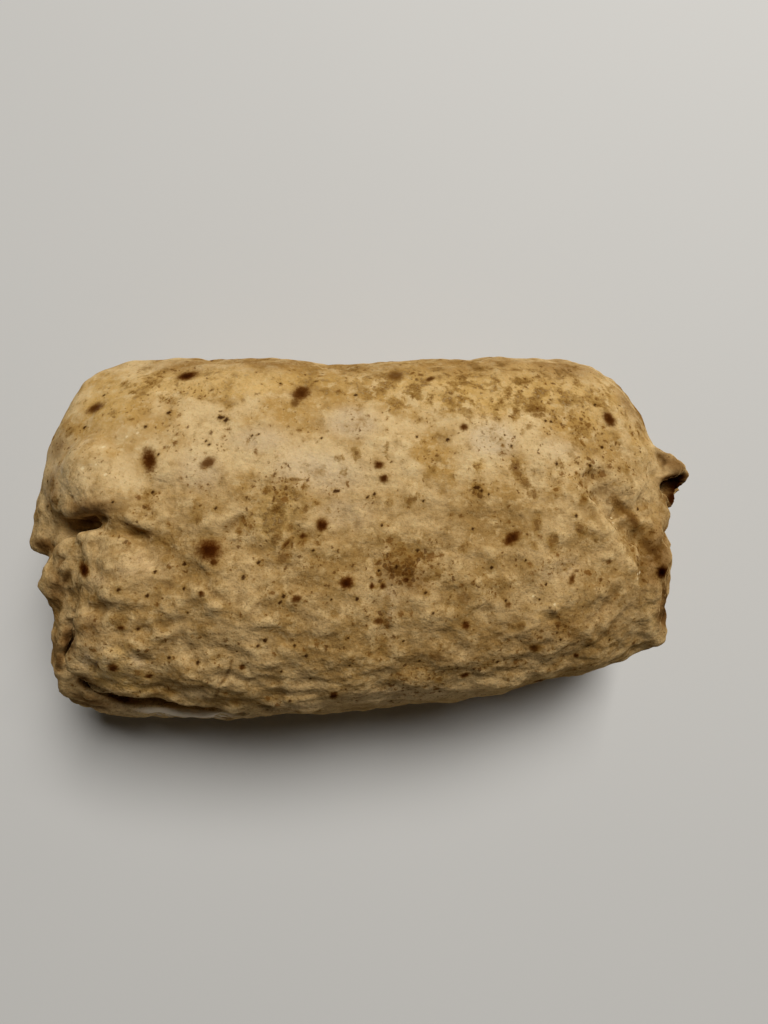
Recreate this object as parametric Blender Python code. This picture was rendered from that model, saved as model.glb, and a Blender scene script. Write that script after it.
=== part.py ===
"""A closed steak wrap: one flour tortilla rolled round its filling, with both ends tucked in.

The wrap lies along X and rests on its flat underside. -Y is its front, where the last lap of the
tortilla ends in a free edge, and +Z is up. Angles go round the wrap from its back: 0 is the back,
90 the top, 180 the front, 270 the underside. Sizes are millimetres, made metres as points are placed.

The rolled body is one closed grid. Folds, pillows of filling and the ear are laid on it as closed
shells, one skin is wrapped round them all, and the slots between the laps are cut out of it.
"""

import math

import bmesh
import bpy
from mathutils import Matrix, Vector, noise

MM = 0.001

# The roll: how far its back, front and top stand from its middle line, along its length
BELLY = 26.0  # height of the widest level
SINK = 5.0  # how far the round underside is pressed flat
ROUNDNESS = 2.6  # 2 would be an ellipse, more is squarer
BACK = ((-84, 12), (-78, 26), (-73, 35), (-68, 42), (-56, 44.5), (-30, 45.5), (-5, 45), (20, 46.5),
        (42, 47.8), (55, 47.8), (64, 46), (74, 38.5), (84, 22))
FRONT = ((-84, 30), (-76, 35.5), (-70, 38.5), (-65, 40.2), (-60, 41.3), (-43, 43.3), (-29, 44.9),
         (-15, 45.6), (8, 44.6), (35, 42), (55, 37.8), (70, 33.2), (78, 29.5), (88, 23))
TOP = ((-84, 32), (-76, 42.5), (-66, 50), (-52, 55), (-25, 57.5), (10, 58), (40, 57), (58, 54),
       (70, 49), (80, 41), (88, 32))

# Two lines that the columns of the surface follow: the fold under the hood at the left end, and
# the free edge of the last lap along the front. Each is drawn as its angle at some places.
HOOD_LINE = ((-83, 118), (-74, 110), (-67, 101), (-57, 95), (-52, 99.5), (-47, 102.5), (-42, 108),
             (-36, 111.5), (-20, 106), (90, 98))
FREE_EDGE = ((-80, 150), (-68, 151), (-60, 156.5), (-54, 159), (-45, 160.5), (-35, 163), (-25, 168),
             (-10, 177), (90, 182))
HOOD_AT, EDGE_AT = 98.0, 168.0  # which columns these are, by their angle in a plain roll
STRAIGHT_FROM = 235.0  # past this angle the columns run straight

# The left end by column: where the outer lap ends, and how far the tucked laps inside it reach
RIM_LEFT = ((0, -76), (30, -77.5), (60, -76.5), (80, -70.5), (90, -65.5), (98, -61.5), (106, -60.5),
            (116, -61), (135, -61.2), (141, -61.8), (147, -64.2), (152, -64.8), (160, -63.8), (168, -66),
            (180, -68.5), (220, -70), (320, -72))
TUCK_LEFT = ((0, -73), (60, -73), (80, -68), (96, -65), (106, -68), (116, -71.5), (130, -72.5),
             (153, -72), (172, -73.5), (200, -76), (240, -76), (320, -74))
GAP_LEFT = ((0, 3), (40, 4), (92, 3), (104, 2), (122, 2.5), (136, 5.5), (160, 5.5), (167, 2.5),
            (200, 1), (330, 1))  # depth of the gap between the two
# The right end, the same
RIM_RIGHT = ((0, 76), (30, 78.5), (60, 78.5), (90, 77.5), (108, 75), (126, 74.5), (150, 75.5),
             (186, 77), (230, 75), (300, 74))
TUCK_RIGHT = ((0, 75), (60, 76), (90, 77), (104, 80.5), (120, 81.8), (150, 81.8), (185, 81), (230, 80),
              (300, 76))
GAP_RIGHT = ((0, 2), (60, 3), (100, 3), (112, 4), (150, 4), (186, 2), (230, 1), (330, 1))
POLE_LEFT, POLE_RIGHT = -75.0, 77.5
OPEN_FROM = -10.0  # the rims stand free from this angle round to the free edge
UNDERSIDE = 270.0
FADE_BACK, FADE_FRONT = 16.0, 4.0
LAP = 2.6  # thickness of a lap at its rolled edge
FACE_SQUARENESS = 2.7  # how squarely the tucked laps turn over into the end
FACE_MIDDLE = 0.55  # share of the end's face that dips towards its pole
LIP = ((0.9, 0.9, 0.15), (0, 1.6, 0.5), (0.9, 2.4, 0.88))  # (back, back where shut, share of LAP)

# Laps and folds laid on the roll. Each is a strip along a path of (x, y, z): its half width, its
# half thickness, the way its flat side faces, and the path. The first ones shape the left end.
FOLDS = {
    "flap beside the hood": (6.2, 2.5, (-0.74, -0.12, 0.66), (
        (-69, 26, 37), (-73, 16, 39.4), (-74.6, 6, 38.8), (-77.2, -6.4, 35.2))),
    "roll below the flap": (3.4, 3.4, (-0.4, -0.2, 0.9), (
        (-59.5, -5.6, 46.4), (-64, -7.4, 45), (-69.0, -10, 40.5))),
    "ridge along the slot": (1.6, 1.5, (0, -0.3, 1), (
        (-62.5, -4.8, 49.6), (-58.5, -5.0, 51.4), (-53.5, -5.6, 52.8))),
    "edge of the tucked layer": (2.6, 2.2, (-0.7, -0.4, 0.6), (
        (-65.0, -17, 43.6), (-66.8, -25, 40.4), (-67.6, -32, 36.6), (-67.0, -36.4, 32), (-64, -39.8, 28.8),
        (-58.6, -42, 27.8))),
    "the same layer along the front": (1.9, 1.7, (0, -0.9, 0.4), (
        (-66.4, -37.5, 30), (-63.4, -41.0, 28), (-59.4, -42.6, 27.8), (-51, -43.6, 28.2), (-40, -44.2, 28.6),
        (-28, -44.4, 28.6))),
    "rolled rim of the outer lap": (1.6, 1.4, (-0.6, -0.3, 0.7), (
        (-60.0, -12, 50.4), (-60.2, -24.4, 48.6), (-60.8, -28.2, 47.0), (-63.2, -30.6, 44.8),
        (-63.9, -33, 42.8), (-62.2, -34.8, 42.0), (-59.6, -36.0, 41.6), (-53.9, -37.4, 41.6),
        (-45.3, -39.0, 41.2), (-34.8, -40.6, 40.8), (-24, -42.2, 39.2))),
}
# Where a pillow of filling bulges the tortilla: its middle, its half sizes, its turn about Z
PILLOWS = {
    "hood over the left end": ((-57.4, 8.9, 47.4), (11.0, 10.6, 9.1), 0),
    "fold beside the hood": ((-48.6, -1.8, 52.6), (8.0, 4.0, 4.2), -12),
    "left end inside the flap": ((-65.5, -1, 34), (8.5, 15, 11.5), 0),
    "tucked end": ((-67.4, -12.8, 35), (7.0, 9.0, 10.5), 0),
    "fold by the right slit": ((70.5, -9.5, 42.5), (5.5, 6.5, 6), 0),
}
# Slots between the laps, written as the folds are: each is cut as deep as it says the way it faces
SLOTS = {
    "under the hood": (1.3, 5.5, (0, 0, 1), (
        (-65.5, -1.6, 46), (-61.5, -2.4, 47.6), (-56, -2.4, 49))),
    "beside the tucked end": (0.8, 2.4, (0, 0, 1), (
        (-63.8, -7.4, 47.6), (-66, -10.6, 45.6), (-66.2, -14, 44.6), (-64.6, -18, 45.6))),
    "behind the rolled rim": (1.1, 6, (-0.1, -0.2, 1), (
        (-62.6, -20.5, 46.5), (-62.9, -26, 44.5), (-64.8, -30, 41.6), (-66, -34, 37))),
    "below the free edge": (1.25, 5.5, (0, -0.1, 1), (
        (-66.2, -33.5, 37.5), (-64.4, -37.4, 34), (-59, -39.6, 33), (-51, -41.0, 32.6),
        (-43, -42.2, 32.6), (-34, -43.2, 32.6))),
    "slit at the right end": (0.8, 4, (0.3, 0, 1), (
        (70.6, -12, 48), (72.6, -15, 46), (73.0, -19, 44.8), (72.6, -22.6, 43.4), (71.0, -26, 42))),
}
# The ear: a corner of the outer lap that sticks out of the right end, folded round a small pit
EAR = ((72, 19.5, 46.5), (80, 16.4, 45.6), (88.4, 13.2, 40.6), (81.4, 3.0, 40), (73, 7.4, 48),
       (68, 20, 34), (68, 3, 36), (80, 12, 31))
EAR_PIT = ((73.6, 7.0, 49), (88.2, 12, 42.4), (82, 3.4, 41.8), (73.4, 9.2, 42.6), (83, 13, 38.2),
           (79, 6.8, 38), (76, 13.6, 41), (84, 14.8, 38.6))

# The last lap, and the relief of the folds
STEP = ((-80, 3), (-40, 3), (-20, 1.6), (0, 0.5), (30, 0), (90, 0))  # how far it stands proud
STEP_START, STEP_DROP = -0.8, 2.4  # where its edge begins to drop, and in what angle
STEP_HOLD, STEP_RUN = 2.0, 15.0  # angles: before the lap below swells out again, and doing so
FOOT = ((-84, 3), (-66, 6.6), (-46, 5), (-35, 4), (-20, 1.8), (0, 0.3), (30, 0), (90, 0))
FOOT_AT, FOOT_SPREAD, FOOT_START = 193.0, 17.0, 3.0  # where that lap swells out furthest, by FOOT
FOLD = ((-80, 0), (-66, 4), (-59, 5.5), (-54, 2.4), (-48, 3.2), (-41, 2), (-32, 0),
        (90, 0))  # depth under the hood
FOLD_BACK, FOLD_FRONT = 3.0, 7.0  # how far the fold spreads to each side of its line
# (x, angle, spread along x, spread in angle, height): swellings and hollows
SWELLINGS = (
    (-60, 78, 8, 13, 3.2),
    (-74, 84, 4, 18, -1.4),
    (-52, 116, 8, 11, 1.6),
    (-4, 20, 12, 22, -0.8),
    (56, 96, 6, 9, 1.0),
    (64, 88, 7, 9, -1.6),
    (68, 124, 6, 12, 1.2),
)
WAVES, WAVE_LENGTH = 0.45, 17.0  # height and length of the slow unevenness
GIRTH = 40.0  # rough radius of the roll, on which the unevenness is drawn

# How finely the roll is divided, and the surface that is wrapped round all the pieces
AROUND = 120
FINE_ANGLE = 0.25  # steps in which the girth is measured
DENSITY = ((0, 1.0), (84, 1.0), (92, 1.8), (102, 1.8), (112, 1.0), (158, 1.0), (165, 2.3),
           (175, 2.3), (188, 1.1), (224, 0.4), (312, 0.4), (345, 0.8))  # of the columns, by angle
ALONG = ((-1.0, 20), (-0.62, 30), (0.62, 20), (1.0, 0))  # from this share of the length, so many rows
FACE_ROWS = 8
STRIP_ROWS, STRIP_SIDES = 28, 20
NEAR = 0.01  # share of a path over which its direction is taken
STRIP_END, STRIP_TIP = 1.6, 0.5  # length of a strip's rounded end, and the width left at its tip
SKIN_GRAIN = 0.7  # size of the wrapped surface's squares
SMOOTHING = 4
TRIANGLES = 11400
BASE_CUT = 0.35  # what is cut off below, so that the underside is flat again


def curve_through(stations, at, period=None):
    """The smooth curve through the stations' (place, value) pairs, read at one place."""
    if period:
        first, last = stations[0], stations[-1]
        stations = ((last[0] - period, last[1]), *stations, (first[0] + period, first[1]))
        at = (at - stations[0][0]) % period + stations[0][0]
    at = min(max(at, stations[0][0]), stations[-1][0])
    i = 0
    while i < len(stations) - 2 and at > stations[i + 1][0]:
        i += 1
    slopes = [(b[1] - a[1]) / (b[0] - a[0]) for a, b in zip(stations, stations[1:])]

    def tangent(k):
        if k in (0, len(slopes)):
            return slopes[min(k, len(slopes) - 1)]
        before, after = slopes[k - 1], slopes[k]
        return 0.0 if before * after <= 0 else 2 * before * after / (before + after)

    (x0, y0), (x1, y1) = stations[i], stations[i + 1]
    step = x1 - x0
    t = (at - x0) / step
    return (
        y0 * (1 + 2 * t) * (1 - t) ** 2
        + step * tangent(i) * t * (1 - t) ** 2
        + y1 * t * t * (3 - 2 * t)
        + step * tangent(i + 1) * t * t * (t - 1)
    )


def smooth(t):
    t = min(max(t, 0.0), 1.0)
    return t * t * (3 - 2 * t)


def bell(t):
    return math.exp(-t * t)


def angle_of(column, x):
    """The angle at which a column runs at x: the columns bend to follow the two lines."""
    knots = (0, HOOD_AT, EDGE_AT, STRAIGHT_FROM, 360)
    angles = (0, curve_through(HOOD_LINE, x), curve_through(FREE_EDGE, x), STRAIGHT_FROM, 360)
    for i in range(4):
        if column <= knots[i + 1]:
            t = (column - knots[i]) / (knots[i + 1] - knots[i])
            return angles[i] + t * (angles[i + 1] - angles[i])
    return column


def relief(x, column, angle):
    """How far the folds and the swellings lift the surface at this place."""
    lift = sum(
        height * bell((x - at) / along) * bell((angle - turn) / across)
        for at, turn, along, across, height in SWELLINGS
    )
    below = column - EDGE_AT  # past the free edge
    dropped = smooth((below - STEP_START) / STEP_DROP) * (1 - smooth((below - STEP_HOLD) / STEP_RUN))
    lift -= curve_through(STEP, x) * dropped
    swollen = bell((angle - FOOT_AT) / FOOT_SPREAD) * smooth(below / FOOT_START)
    lift += curve_through(FOOT, x) * swollen
    away = column - HOOD_AT
    lift -= curve_through(FOLD, x) * bell(away / (FOLD_BACK if away < 0 else FOLD_FRONT))
    c, s = math.cos(math.radians(angle)), math.sin(math.radians(angle))
    around = Vector((x, GIRTH * c, GIRTH * s))
    upper = smooth(s / 0.6 + 0.7)
    return lift + WAVES * upper * noise.noise(around / WAVE_LENGTH)


def radius(x, column):
    """How far the surface is from the middle line, at x on this column."""
    angle = angle_of(column, x)
    c, s = math.cos(math.radians(angle)), math.sin(math.radians(angle))
    side = curve_through(BACK if c > 0 else FRONT, x)
    rise = curve_through(TOP, x) - BELLY if s > 0 else BELLY + SINK
    reach = (abs(c / side) ** ROUNDNESS + abs(s / rise) ** ROUNDNESS) ** (-1 / ROUNDNESS)
    reach += relief(x, column, angle)
    return min(reach, BELLY / -s) if s < 0 else reach


def place(x, column, reach):
    """The point on this column at x, at this distance from the middle line, in metres."""
    a = math.radians(angle_of(column, x))
    return Vector((x, reach * math.cos(a), max(0.0, BELLY + reach * math.sin(a)))) * MM


def openness(column):
    """1 where the rims stand free, 0 where the end is simply rounded off."""
    if column > UNDERSIDE:
        return smooth((column - 360 - OPEN_FROM + FADE_BACK) / FADE_BACK)
    return 1 - smooth((column - EDGE_AT) / FADE_FRONT)


def end_rows(column, rim, tuck, pole, gap, outward):
    """(x, distance from the middle line) of the rows from an end's centre out to its rim."""
    k = openness(column)
    inner = rim - outward * gap * k
    full = radius(rim, column)
    lap = LAP * k
    shoulder = full - lap
    rows = []
    for i in range(FACE_ROWS):
        s = math.sin(math.radians(90 * i / FACE_ROWS))
        reach = pole + (tuck - pole) * smooth(s / FACE_MIDDLE)
        x = inner + (reach - inner) * (1 - s**FACE_SQUARENESS) ** (1 / FACE_SQUARENESS)
        rows.append((x, shoulder * s))
    rows.append((inner, shoulder))
    for back, closed_back, share in LIP:
        rows.append((rim - outward * (back * k + closed_back * (1 - k)), shoulder + share * lap))
    return rows


def columns():
    """The columns' angles, closer together where DENSITY says, with one on each of the two lines."""
    fine = [i * FINE_ANGLE for i in range(round(360 / FINE_ANGLE) + 1)]
    walked = [0.0]
    for a, b in zip(fine, fine[1:]):
        step = (place(0, b, radius(0, b)) - place(0, a, radius(0, a))).length
        walked.append(walked[-1] + step * curve_through(DENSITY, a, 360))
    angles, k = [], 0
    for i in range(AROUND):
        goal = walked[-1] * i / AROUND
        while walked[k + 1] < goal:
            k += 1
        angles.append(fine[k] + FINE_ANGLE * (goal - walked[k]) / (walked[k + 1] - walked[k]))
    for line in (HOOD_AT, EDGE_AT):
        nearest = min(range(AROUND), key=lambda i: abs(angles[i] - line))
        angles[nearest] = line
    return angles


def lengthwise():
    """Shares of the way from the left rim to the right one, closer together near the ends."""
    shares = []
    for (a, count), (b, _) in zip(ALONG, ALONG[1:]):
        shares += [(a + (b - a) * i / count + 1) / 2 for i in range(count)]
    return shares[1:]


def points_of(column):
    """Every point of one column, from the left end's centre to the right end's."""
    ends = []
    for rim, tuck, gap, pole, outward in (
        (RIM_LEFT, TUCK_LEFT, GAP_LEFT, POLE_LEFT, -1),
        (RIM_RIGHT, TUCK_RIGHT, GAP_RIGHT, POLE_RIGHT, 1),
    ):
        here = [curve_through(line, column, 360) for line in (rim, tuck, gap)]
        ends.append(end_rows(column, here[0], here[1], pole, here[2], outward))
    left, right = ends
    a, b = left[-1][0], right[-1][0]
    between = [(a + (b - a) * t, radius(a + (b - a) * t, column)) for t in lengthwise()]
    return [place(x, column, reach) for x, reach in left + between + right[::-1]]


def roll(bm):
    """The rolled body as one closed grid of columns and rows, with a pole at each end."""
    grid = []
    for column in columns():
        points = points_of(column)
        grid.append([bm.verts.new(p) for p in points[1:-1]])
    poles = [bm.verts.new(place(x, 0, 0)) for x in (POLE_LEFT, POLE_RIGHT)]
    for here, there in zip(grid, grid[1:] + grid[:1]):
        bm.faces.new((poles[0], here[0], there[0]))
        bm.faces.new((poles[1], there[-1], here[-1]))
        for a, b, c, d in zip(here, here[1:], there[1:], there):
            bm.faces.new((a, b, c, d))


def along_path(path, share):
    """The point at this share of a path's length, on the smooth curve through its points."""
    steps = [(Vector(b) - Vector(a)).length for a, b in zip(path, path[1:])]
    walked = [sum(steps[:i]) for i in range(len(path))]
    at = share * walked[-1]
    return Vector([curve_through(list(zip(walked, [p[i] for p in path])), at) for i in range(3)])


def strip(bm, half_width, half_thickness, facing, path):
    """A long flat roll with rounded ends, which follows the path with its flat side facing."""
    length = sum((Vector(b) - Vector(a)).length for a, b in zip(path, path[1:]))
    rings = []
    for i in range(STRIP_ROWS + 1):
        share = i / STRIP_ROWS
        middle = along_path(path, share)
        ahead = along_path(path, min(share + NEAR, 1)) - along_path(path, max(share - NEAR, 0))
        across = ahead.cross(Vector(facing)).normalized()
        out = across.cross(ahead).normalized()
        from_end = min(share, 1 - share) * length / STRIP_END
        full = max(STRIP_TIP, math.sqrt(1 - (1 - min(from_end, 1)) ** 2))
        ring = []
        for k in range(STRIP_SIDES):
            turn = 2 * math.pi * k / STRIP_SIDES
            away = across * half_width * math.cos(turn) + out * half_thickness * math.sin(turn)
            ring.append(bm.verts.new((middle + away * full) * MM))
        rings.append(ring)
    for here, there in zip(rings, rings[1:]):
        for k in range(STRIP_SIDES):
            after = (k + 1) % STRIP_SIDES
            bm.faces.new((here[k], here[after], there[after], there[k]))
    bm.faces.new(rings[0][::-1])
    bm.faces.new(rings[-1])


def pillow(bm, middle, halves, turn):
    seat = Matrix.Translation(Vector(middle) * MM)
    seat = seat @ Matrix.Rotation(math.radians(turn), 4, "Z") @ Matrix.Diagonal((*halves, 1))
    bmesh.ops.create_icosphere(bm, subdivisions=4, radius=MM, matrix=seat)


def hull(bm, corners):
    made = [bm.verts.new(Vector(corner) * MM) for corner in corners]
    bmesh.ops.convex_hull(bm, input=made)


def object_of(bm, name):
    bmesh.ops.recalc_face_normals(bm, faces=bm.faces)
    mesh = bpy.data.meshes.new(name)
    bm.to_mesh(mesh)
    bm.free()
    made = bpy.data.objects.new(name, mesh)
    bpy.context.scene.collection.objects.link(made)
    return made


def all_pieces():
    """The roll with its folds, pillows and ear laid on it, as overlapping closed shells."""
    bm = bmesh.new()
    roll(bm)
    for half_width, half_thickness, facing, path in FOLDS.values():
        strip(bm, half_width, half_thickness, facing, path)
    for middle, halves, turn in PILLOWS.values():
        pillow(bm, middle, halves, turn)
    hull(bm, EAR)
    return object_of(bm, "tortilla_wrap")


def all_slots():
    """What is cut out of it, joined the same way."""
    bm = bmesh.new()
    for half_width, half_depth, facing, path in SLOTS.values():
        strip(bm, half_width, half_depth, facing, path)
    hull(bm, EAR_PIT)
    return object_of(bm, "slots")


def wrapped(obj):
    """Adds a modifier that wraps one even skin round everything the object holds."""
    skin = obj.modifiers.new("one skin", "REMESH")
    skin.mode = "VOXEL"
    skin.voxel_size = SKIN_GRAIN * MM


def apply_modifiers(obj):
    bpy.context.view_layer.update()
    seen = obj.evaluated_get(bpy.context.evaluated_depsgraph_get())
    obj.data = bpy.data.meshes.new_from_object(seen)
    obj.modifiers.clear()


def fuse(wrap, slots):
    """Makes one closed surface of the pieces, cuts the slots, and rounds what is left."""
    wrapped(wrap)
    wrapped(slots)
    apply_modifiers(slots)
    cut = wrap.modifiers.new("slots", "BOOLEAN")
    cut.operation = "DIFFERENCE"
    cut.object = slots
    wrapped(wrap)
    soften = wrap.modifiers.new("soften", "SMOOTH")
    soften.iterations = SMOOTHING
    apply_modifiers(wrap)
    bpy.data.objects.remove(slots)
    wrap.data.calc_loop_triangles()
    thin = wrap.modifiers.new("fewer faces", "DECIMATE")
    thin.ratio = TRIANGLES / len(wrap.data.loop_triangles)
    apply_modifiers(wrap)


def finish(wrap):
    """Cuts the underside flat, and moves the middle of the footprint to the origin."""
    bm = bmesh.new()
    bm.from_mesh(wrap.data)
    low = min(v.co.z for v in bm.verts) + BASE_CUT * MM
    everything = [*bm.verts, *bm.edges, *bm.faces]
    bmesh.ops.bisect_plane(
        bm, geom=everything, dist=1e-6, plane_co=(0, 0, low), plane_no=(0, 0, 1), clear_inner=True
    )
    rim = [edge for edge in bm.edges if edge.is_boundary]
    bmesh.ops.contextual_create(bm, geom=rim)
    for axis in (0, 1):
        seats = [v.co[axis] for v in bm.verts]
        middle = (min(seats) + max(seats)) / 2
        for v in bm.verts:
            v.co[axis] -= middle
    for v in bm.verts:
        v.co.z -= low
    bmesh.ops.triangulate(bm, faces=bm.faces)
    bm.to_mesh(wrap.data)
    bm.free()
    wrap.data.shade_smooth()


def crust():
    material = bpy.data.materials.new("tortilla")
    material.use_nodes = True
    shader = material.node_tree.nodes["Principled BSDF"]
    shader.inputs["Base Color"].default_value = (0.50, 0.34, 0.16, 1)
    shader.inputs["Roughness"].default_value = 0.6
    return material


def main():
    for obj in list(bpy.data.objects):
        bpy.data.objects.remove(obj)
    wrap = all_pieces()
    fuse(wrap, all_slots())
    finish(wrap)
    wrap.data.materials.append(crust())


main()
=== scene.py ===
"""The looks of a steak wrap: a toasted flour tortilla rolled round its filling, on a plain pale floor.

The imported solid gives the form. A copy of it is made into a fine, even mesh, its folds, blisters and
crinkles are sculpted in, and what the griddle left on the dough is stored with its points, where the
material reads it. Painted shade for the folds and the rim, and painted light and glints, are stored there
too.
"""

import math

import bmesh
import bpy
import numpy as np
from mathutils import Matrix, Vector, noise


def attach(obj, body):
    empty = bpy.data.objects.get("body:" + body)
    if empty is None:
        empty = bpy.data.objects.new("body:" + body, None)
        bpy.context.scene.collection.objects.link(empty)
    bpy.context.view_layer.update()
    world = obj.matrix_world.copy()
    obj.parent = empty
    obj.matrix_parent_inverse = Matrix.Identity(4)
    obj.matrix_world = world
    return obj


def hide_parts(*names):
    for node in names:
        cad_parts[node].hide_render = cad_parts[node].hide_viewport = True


MM = 0.001
NODE = "tortilla_wrap"

# The camera that took the picture: a phone's main camera, looking almost straight down. Millimetres.
FRAME = (768, 1024)
FOCAL_PIXELS = 532.4
SENSOR_HEIGHT = 36.0
CAMERA_AT = Vector((-7.616, -24.920, 168.774))
CAMERA_RIGHT = Vector((0.99720, -0.01554, 0.07317))
CAMERA_UP = Vector((0.0, 0.97817, 0.20782))
CAMERA_BACK = Vector((-0.07480, -0.20724, 0.97543))

# A broad window behind and above, a dim room, how far the floor reaches from its middle, and how near the
# camera sees. Metres.
WINDOW_AT = (0.36, 0.70, 1.32)
WINDOW_AIM = (0, 0, 0.02)
WINDOW_SIZE = 0.74
WINDOW_POWER = 23.4
WINDOW_TINT = (1.0, 0.985, 0.96)
ROOM_TINT = (1.0, 0.84, 0.62, 1)
ROOM_STRENGTH = 0.025
FLOOR_REACH = 3.0
NEAREST_SEEN = 0.01

# The fine body, in millimetres. A round of evening or averaging reaches about one quad further.
MERGED_WITHIN = 0.01
QUAD = 0.76
SOFTEN_ROUNDS = 4
EVENING_ROUNDS = 72
GROOVE_ROUNDS = 3
HOLLOW_ROUNDS = 32

# Places below are columns and rows of that 768 x 1024 frame. Sizes are millimetres, and one
# pixel covers this many millimetres on top of the wrap.
PIXEL = 0.222

# The ear is drawn in towards this x, its lower corner further, and the near right corner is drawn out.
EAR_ROOT_X = 76.0
EAR_COLUMNS = (656, 672)
EAR_CORNER_ROWS = (480, 496)
EAR_FOOT_ROWS = (508, 520)
EAR_DRAWN_IN = 0.18
EAR_CORNER_DRAWN_IN = 0.1
CORNER_AT = (655, 633)
CORNER_BREADTH = (14, 17)
CORNER_DRAWN_OUT = (2.1, -1.9, 0.0)

# Relief: how large its lumps are along x, y and z, and how high they rise.
LUMP_SIZE = (17, 12, 12)
LUMP_RISE = 0.75
WRINKLE_SIZE = (10, 6, 6)
WRINKLE_RISE = 0.4
BILLOW_SIZE = (6.5, 4.4, 4.4)
BILLOW_RISE = 0.6
SWELLING_SIZE = (7, 5, 5)
SWELLING_RISE = 0.9
BEND_SIZE = (7, 7, 7)
BEND_REACH = 2.4  # how far the wrinkles are bent out of their rows
WAVER_SIZE = (4, 4, 4)
WAVER_REACH = 0.5  # how far a crease strays from its line
UNEVEN_SIZE = (5, 5, 5)
CRINKLED_BY = 1.12  # how strongly the wrinkles stand out, and how much less at the right of the front
RIGHT_FRONT_FLATTER = 0.34
SHOULDER_AT = 1.9  # in widths of a crease, with the shoulder's height as a share of its depth
SHOULDER_RISE = 0.3
PUFF_FALL = 1.4

# Noise on the mesh: how much weaker and how many times finer each further octave is.
OCTAVE_FALL = 0.9
OCTAVE_FINER = 2.1
RIDGE_OFFSET = 1.0
RIDGE_GAIN = 2.0

# Spots on the sides that the picture doesn't show: how many, and their least and most radius and brown.
UNSEEN_SPOTS = 46
UNSEEN_RADIUS = (0.7, 2.4)
UNSEEN_BROWN = (0.4, 0.95)
UNSEEN_SEED = 41

# How straight a point faces the camera, as a cosine, where it starts to show, where it shows in full, and
# where it is out of sight.
SHOWN_FACING = (0.02, 0.25)
UNSEEN_FACING = -0.05

# How far off a mark counts at most, in its radii, and how much further it counts where a point turns away
# from the camera: in radii for spots, in pixels for specks.
FAR_AWAY = 4.0
TURNED_AWAY = 3
TURNED_AWAY_PIXELS = 20

# Toasted spots: column, row, length, width, turn in degrees (anticlockwise as seen), brown from 0 to 1.
SPOTS = (
    (209, 550, 6.0, 4.8, 0, 0.96),
    (214, 562, 2.4, 1.8, -40, 0.75),
    (149, 460, 4.5, 2.9, 97, 0.84),
    (187, 376, 4.6, 1.6, 12, 0.9),
    (95, 408, 3.9, 1.6, 28, 0.74),
    (301, 393, 4.0, 3.0, 15, 0.78),
    (295, 403, 1.9, 1.7, 0, 0.6),
    (208, 463, 3.3, 2.0, 28, 0.66),
    (395, 376, 3.2, 1.9, 0, 0.6),
    (430, 379, 1.9, 0.9, 20, 0.7),
    (379, 465, 2.2, 1.8, -20, 0.85),
    (384, 478, 2.0, 1.8, 0, 0.78),
    (464, 427, 1.7, 1.5, 0, 0.75),
    (609, 419, 3.4, 2.0, -55, 0.8),
    (512, 538, 4.0, 2.4, 38, 0.85),
    (347, 583, 3.2, 2.6, 20, 0.98),
    (296, 599, 2.2, 1.6, 30, 0.85),
    (201, 594, 1.6, 1.5, 0, 0.9),
    (84, 569, 3.4, 2.0, -75, 0.95),
    (113, 668, 2.3, 1.9, -15, 0.8),
    (334, 695, 1.9, 1.5, 20, 0.9),
    (466, 625, 1.9, 2.1, 60, 0.95),
    (459, 617, 1.4, 0.6, -60, 0.95),
    (379, 621, 2.2, 1.6, 0, 0.7),
    (464, 598, 2.8, 2.6, 40, 0.45),
    (572, 579, 2.8, 1.1, 72, 0.7),
    (534, 648, 1.9, 1.5, 0, 0.7),
    (437, 657, 3.0, 1.7, -20, 0.48),
    (465, 675, 2.0, 1.1, 15, 0.85),
    (576, 655, 1.3, 1.2, 0, 0.85),
    (662, 572, 2.8, 2.4, 30, 0.9),
    (121, 628, 2.0, 1.2, -15, 0.8),
    (242, 667, 1.3, 1.4, 60, 0.8),
    (149, 676, 2.1, 1.0, 10, 0.8),
    (155, 692, 1.9, 0.9, -12, 0.45),
    (322, 525, 2.9, 2.4, 75, 0.88),
    (303, 536, 1.9, 1.4, 0, 0.8),
    (286, 544, 3.4, 0.8, 48, 1.0),
    (372, 586, 1.1, 1.4, 0, 0.85),
    (383, 586, 1.2, 1.4, 0, 0.85),
    (406, 580, 1.5, 1.3, 0, 0.85),
    (508, 605, 1.5, 1.3, 0, 0.75),
    (609, 562, 1.5, 1.2, 0, 0.65),
)

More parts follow.
